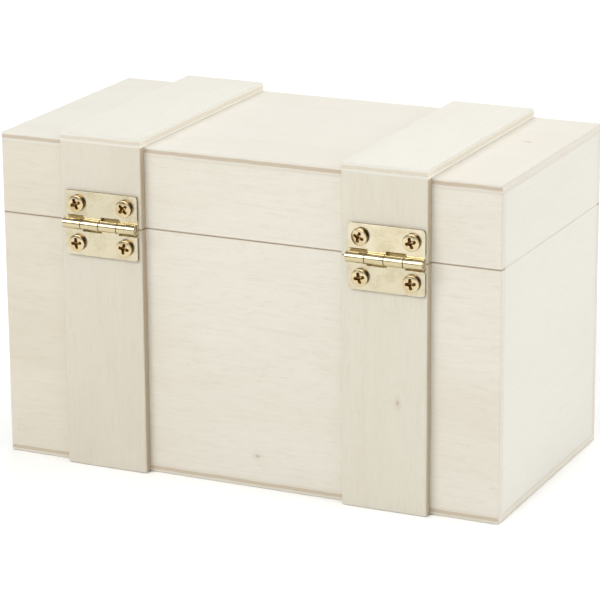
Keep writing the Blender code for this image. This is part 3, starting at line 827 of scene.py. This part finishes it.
def make_hinges():
    pin_low, pin_high = corners_of("hinge_pin_left")
    pin = (pin_low + pin_high) / 2
    face_y = pin.y - KNUCKLE_RADIUS + LEAF_THICKNESS
    seat_y = face_y + SEAT_GAP
    below = (face_y - 0.04 * MM, face_y - 0.25 * MM)
    rolled = Shade(seat_y, face_y + 0.4 * MM, ROLLED_BRASS)
    # Painted light in the notches: a pale brass behind the leaf's face.
    painted_notch_light = Shade(*below, NOTCH_PAINTED_LIGHT_BRASS)
    sheared = Shade(*below, SHEARED_BRASS, RIM_FROM_PIN, pin.z)
    # Painted shade on the screws' heads, from high on their sides down to the seat.
    painted_shade_under_head = Shade(seat_y + 0.88 * HEAD_HEIGHT, seat_y + 0.74 * HEAD_HEIGHT, PAINTED_SHADE_BRASS)
    shades = [rolled, painted_notch_light, sheared]
    leaf_looks = {}
    # Lighter and darker copies of one brass, one for each leaf: painted light.
    for (side, row), tone in LEAF_PAINTED_LIGHT.items():
        pale = tuple(tone * value for value in LEAF_BRASS[0])
        deep = tuple(tone * value for value in LEAF_BRASS[1])
        leaf_looks[side, row] = brass(f"brass_{row}_leaf_{side}", pale, deep, 0.22, 2.0, 0.5, shades)
    screw_look = brass("brass_screw", *SCREW_BRASS, 0.16, 7.0, 0.2, [painted_shade_under_head])
    recess_painted_shade_look = brass("brass_recess_painted_shade", *RECESS_PAINTED_SHADE_BRASS, 0.32, 9.0, 0.2)
    for side in ("left", "right"):
        make_pin(side, leaf_looks[side, "lower"])
        for row in ("lower", "upper"):
            make_leaf(side, row, leaf_looks[side, row])
            for number in (1, 2):
                make_screw(side, row, number, [screw_look, recess_painted_shade_look])


# ---------------------------------------------------------------- latch

PLATE_CORNER = 1.5 * MM
PLATE_EASE = 0.14 * MM
TACK_HEAD = 0.4 * MM       # height
TACK_SHANK = 0.6 * MM      # radius
TACK_TIP = 0.5 * MM        # length
NECK_RADIUS = 1.2 * MM
CHAMFER = 0.05 * MM
SHOULDER_GAP = 0.05 * MM   # between a shoulder and the face of its plate
EYE_RADIUS = 3.0 * MM
EYE_HOLE = 1.35 * MM
HOOK_HEAD_RADIUS = 3.9 * MM
HALF_ARM = 1.7 * MM
HALF_MOUTH = 1.5 * MM
MOUTH_SWEEP = radians(28)  # how far the mouth runs on round the pivot
HOOK_EASE = 0.2 * MM


@dataclass
class HeadedPin:
    """The sizes of a rivet or stud, besides its neck and tail."""
    shoulder_radius: float
    shoulder_height: float
    neck_height: float
    head_radius: float
    head_height: float


PIVOT_RIVET = HeadedPin(2.1 * MM, 0.65 * MM, 2.15 * MM, 2.4 * MM, 0.8 * MM)
CATCH_STUD = HeadedPin(1.9 * MM, 0.5 * MM, 2.4 * MM, 2.5 * MM, 1.1 * MM)


def rounded_rectangle(centre, length, height, corner):
    points = []
    for x_sign, z_sign, start in ((1, 1, 0), (-1, 1, 90), (-1, -1, 180), (1, -1, 270)):
        middle = (centre[0] + x_sign * (length / 2 - corner), centre[1] + z_sign * (height / 2 - corner))
        points += arc(middle, corner, radians(start), radians(start + 90), 8)
    return points


def make_latch_plate(node, body, look):
    low, high = corners_of(node)
    centre = ((low.x + high.x) / 2, (low.z + high.z) / 2)
    shape = bmesh.new()
    outline = rounded_rectangle(centre, high.x - low.x, high.z - low.z, PLATE_CORNER)
    prism(shape, outline, low.y, high.y)
    plate = piece(f"{node}_brass", shape, [look], body, [node], 30)
    soften(plate, PLATE_EASE, 3, 40)


def make_tack(node, body, look):
    low, high = corners_of(node)
    centre = Vector(((low.x + high.x) / 2, low.y, (low.z + high.z) / 2))
    radius = (high.x - low.x) / 2
    dome = [(radius * sin(angle), TACK_HEAD * (1 - cos(angle))) for angle in quarter_turn(8)]
    length = high.y - low.y
    profile = dome + [(TACK_SHANK, TACK_HEAD), (TACK_SHANK, length - TACK_TIP), (0, length)]
    shape = turned(profile, centre, PIN_SEGMENTS)
    piece(f"{node}_brass", shape, [look], body, [node], 45)


def make_headed_pin(node, body, look, sizes):
    """The pivot rivet or the stud: tail in the plate, shoulder, neck and domed head, along -Y."""
    low, high = corners_of(node)
    centre = Vector(((low.x + high.x) / 2, low.y, (low.z + high.z) / 2))
    tail = high.y - low.y
    face = sizes.head_height + sizes.neck_height
    step = face - sizes.shoulder_height
    head = sizes.head_height
    dome = [(sizes.head_radius * sin(angle), 0.72 * head * (1 - cos(angle)))
            for angle in quarter_turn(10)]
    rim = [(sizes.head_radius, 0.9 * head), (sizes.head_radius - 0.1 * head, head)]
    shoulder = [(NECK_RADIUS, step), (sizes.shoulder_radius - CHAMFER, step),
                (sizes.shoulder_radius, step + CHAMFER),
                (sizes.shoulder_radius, face - SHOULDER_GAP), (NECK_RADIUS, face - SHOULDER_GAP)]
    profile = dome + rim + [(NECK_RADIUS, head)] + shoulder + [(NECK_RADIUS, tail), (0, tail)]
    piece(f"{node}_brass", turned(profile, centre), [look], body, [node], 38)


def make_hook(look):
    """The hook hangs from its rivet, and its curved mouth opens towards +X."""
    low, high = corners_of("latch_hook")
    pivot = (0, high.z - EYE_RADIUS)
    reach = pivot[1] - (low.z + HOOK_HEAD_RADIUS)
    head = (0, pivot[1] - reach)
    eye_angle = asin(HALF_ARM / EYE_RADIUS)
    head_angle = asin(HALF_ARM / HOOK_HEAD_RADIUS)
    eye = arc(pivot, EYE_RADIUS, -pi / 2 + eye_angle, 1.5 * pi - eye_angle, 40)
    end = arc(head, HOOK_HEAD_RADIUS, pi / 2 + head_angle, 2.5 * pi - head_angle, 48)
    shape = bmesh.new()
    prism(shape, eye + end, low.y, high.y)
    hook = piece("latch_hook_brass", shape, [look], "hook", ["latch_hook"], 30)
    far = arc(pivot, reach + HALF_MOUTH, -pi / 2 + MOUTH_SWEEP, -pi / 2, 16)
    closed = arc(head, HALF_MOUTH, 1.5 * pi, 0.5 * pi, 20)
    near = arc(pivot, reach - HALF_MOUTH, -pi / 2, -pi / 2 + MOUTH_SWEEP, 16)
    openings = bmesh.new()
    for outline in (far + closed[1:-1] + near, arc(pivot, EYE_HOLE, 0, 2 * pi, 32)[:-1]):
        prism(openings, outline, low.y - CUT_THROUGH, high.y + CUT_THROUGH)
    subtract(hook, openings)
    soften(hook, HOOK_EASE, 3, 40)


def make_latch():
    look = brass("brass_latch", *LATCH_BRASS, 0.22, 13.0)
    make_latch_plate("latch_hook_plate", "base", look)
    make_latch_plate("latch_catch_plate", "lid", look)
    for number in (1, 2):
        make_tack(f"latch_hook_plate_tack_{number}", "base", look)
        make_tack(f"latch_catch_plate_tack_{number}", "lid", look)
    make_headed_pin("latch_pivot_rivet", "base", look, PIVOT_RIVET)
    make_headed_pin("latch_catch_stud", "lid", look, CATCH_STUD)
    make_hook(look)


# ---------------------------------------------------------------- studio

HORIZON_COLOUR = (0.80, 0.80, 0.79)
CEILING_COLOUR = (0.42, 0.42, 0.42)
ROOM_STRENGTH = 0.35
PAPER_COLOURS = ((0.90, 0.90, 0.895), (0.92, 0.92, 0.915))
FLOOR_REACH = 6.0          # metres from the box to the floor's edge

# Each softbox has a name, azimuth and elevation in degrees, distance, size and power in watts.
SOFTBOXES = (
    ("key", 160, 36, 1.3, (1.1, 0.55), 14.0),
    ("side", 290, 26, 1.3, (1.3, 0.9), 11.3),
    ("overhead", 235, 72, 1.3, (1.2, 1.2), 6.9),
    ("front", 12, 35, 1.5, (1.2, 0.8), 10.4),
)


def direction(azimuth, elevation):
    """From the object towards a point at that azimuth and elevation; azimuth 0 is -Y."""
    return Vector((sin(azimuth) * cos(elevation), -cos(azimuth) * cos(elevation), sin(elevation)))


def make_camera():
    data = bpy.data.cameras.new("camera")
    data.lens = CAMERA_LENS
    data.sensor_width = SENSOR_WIDTH
    data.clip_start = 0.05
    camera = bpy.data.objects.new("camera", data)
    towards = direction(CAMERA_AZIMUTH, CAMERA_ELEVATION)
    camera.location = CAMERA_TARGET + towards * CAMERA_DISTANCE
    camera.rotation_mode = "QUATERNION"
    aim = (-towards).to_track_quat("-Z", "Y")
    camera.rotation_quaternion = aim @ Quaternion((0, 0, 1), CAMERA_ROLL)
    bpy.context.scene.collection.objects.link(camera)
    bpy.context.scene.camera = camera


def make_softbox(name, azimuth, elevation, distance, size, power):
    """A white area light that faces the middle of the box."""
    data = bpy.data.lights.new(name, "AREA")
    data.shape = "RECTANGLE"
    data.size, data.size_y = size
    data.energy = power
    light = bpy.data.objects.new(name, data)
    centre = (cad_low + cad_high) / 2
    towards = direction(radians(azimuth), radians(elevation))
    light.location = centre + towards * distance
    light.rotation_mode = "QUATERNION"
    light.rotation_quaternion = (-towards).to_track_quat("-Z", "Y")
    light.visible_camera = False
    bpy.context.scene.collection.objects.link(light)


def make_world():
    """A pale room that is darker overhead than at the horizon."""
    world = bpy.data.worlds.new("studio")
    bpy.context.scene.world = world
    world.use_nodes = True
    tree = world.node_tree
    background = tree.nodes["Background"]
    coords = put(tree, "ShaderNodeTexCoord").outputs["Generated"]
    height = put(tree, "ShaderNodeSeparateXYZ", None, {0: coords}).outputs[2]
    colour = blend(tree, remap(tree, height, 0.10, 0.80), HORIZON_COLOUR, CEILING_COLOUR)
    tree.links.new(colour, background.inputs["Color"])
    background.inputs["Strength"].default_value = ROOM_STRENGTH


def make_floor():
    shape = bmesh.new()
    bmesh.ops.create_grid(shape, x_segments=1, y_segments=1, size=FLOOR_REACH)
    mesh = bpy.data.meshes.new("floor")
    shape.to_mesh(mesh)
    shape.free()
    made, tree, shader = new_material("floor_paper", 0.2, 0.0)
    shader.inputs["Roughness"].default_value = 0.9
    coords = put(tree, "ShaderNodeTexCoord").outputs["Object"]
    mottle = stretched_noise(tree, coords, (3, 3, 3), 1.0, 2.0)
    colour = blend(tree, mottle, *PAPER_COLOURS)
    tree.links.new(colour, shader.inputs["Base Color"])
    mesh.materials.append(made)
    floor = bpy.data.objects.new("floor", mesh)
    floor.location = (0, 0, cad_low.z)
    bpy.context.scene.collection.objects.link(floor)


def make_studio():
    bpy.context.scene.view_settings.view_transform = "Standard"
    make_world()
    make_floor()
    for softbox in SOFTBOXES:
        make_softbox(*softbox)


def main():
    make_carcass()
    cut_coin_slot()
    make_straps()
    make_hinges()
    make_latch()
    make_studio()
    make_camera()


main()
